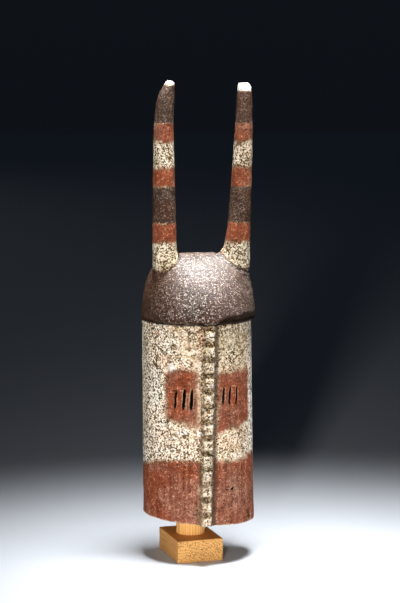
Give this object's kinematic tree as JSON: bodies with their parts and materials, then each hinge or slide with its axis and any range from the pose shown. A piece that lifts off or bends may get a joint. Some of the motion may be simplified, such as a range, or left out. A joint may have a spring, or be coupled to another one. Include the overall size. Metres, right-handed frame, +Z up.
{
  "type": "mossi buffalo mask on its stand",
  "caption": "Carved and painted wooden buffalo mask with a domed brow, a notched ridge, slit eyes and tall banded horns, resting on a round wooden post and block.",
  "frame": {"origin": "centre of the stand block's underside, where it meets the table", "axes": "+Z up along the post and the horns, the mask's face looks along -Y, +X to the face's right as seen from the front"},
  "size_m": [0.1862, 0.1498, 0.7815],
  "materials": {
    "painted_wood": "matt earth paints in cream, red-brown and black, worn, pitted and dirty",
    "pine": "satin oiled softwood with visible grain"
  },
  "bodies": {
    "root": {"mask": "painted_wood", "stand_post": "pine", "stand_block": "pine"}
  },
  "joints": []
}
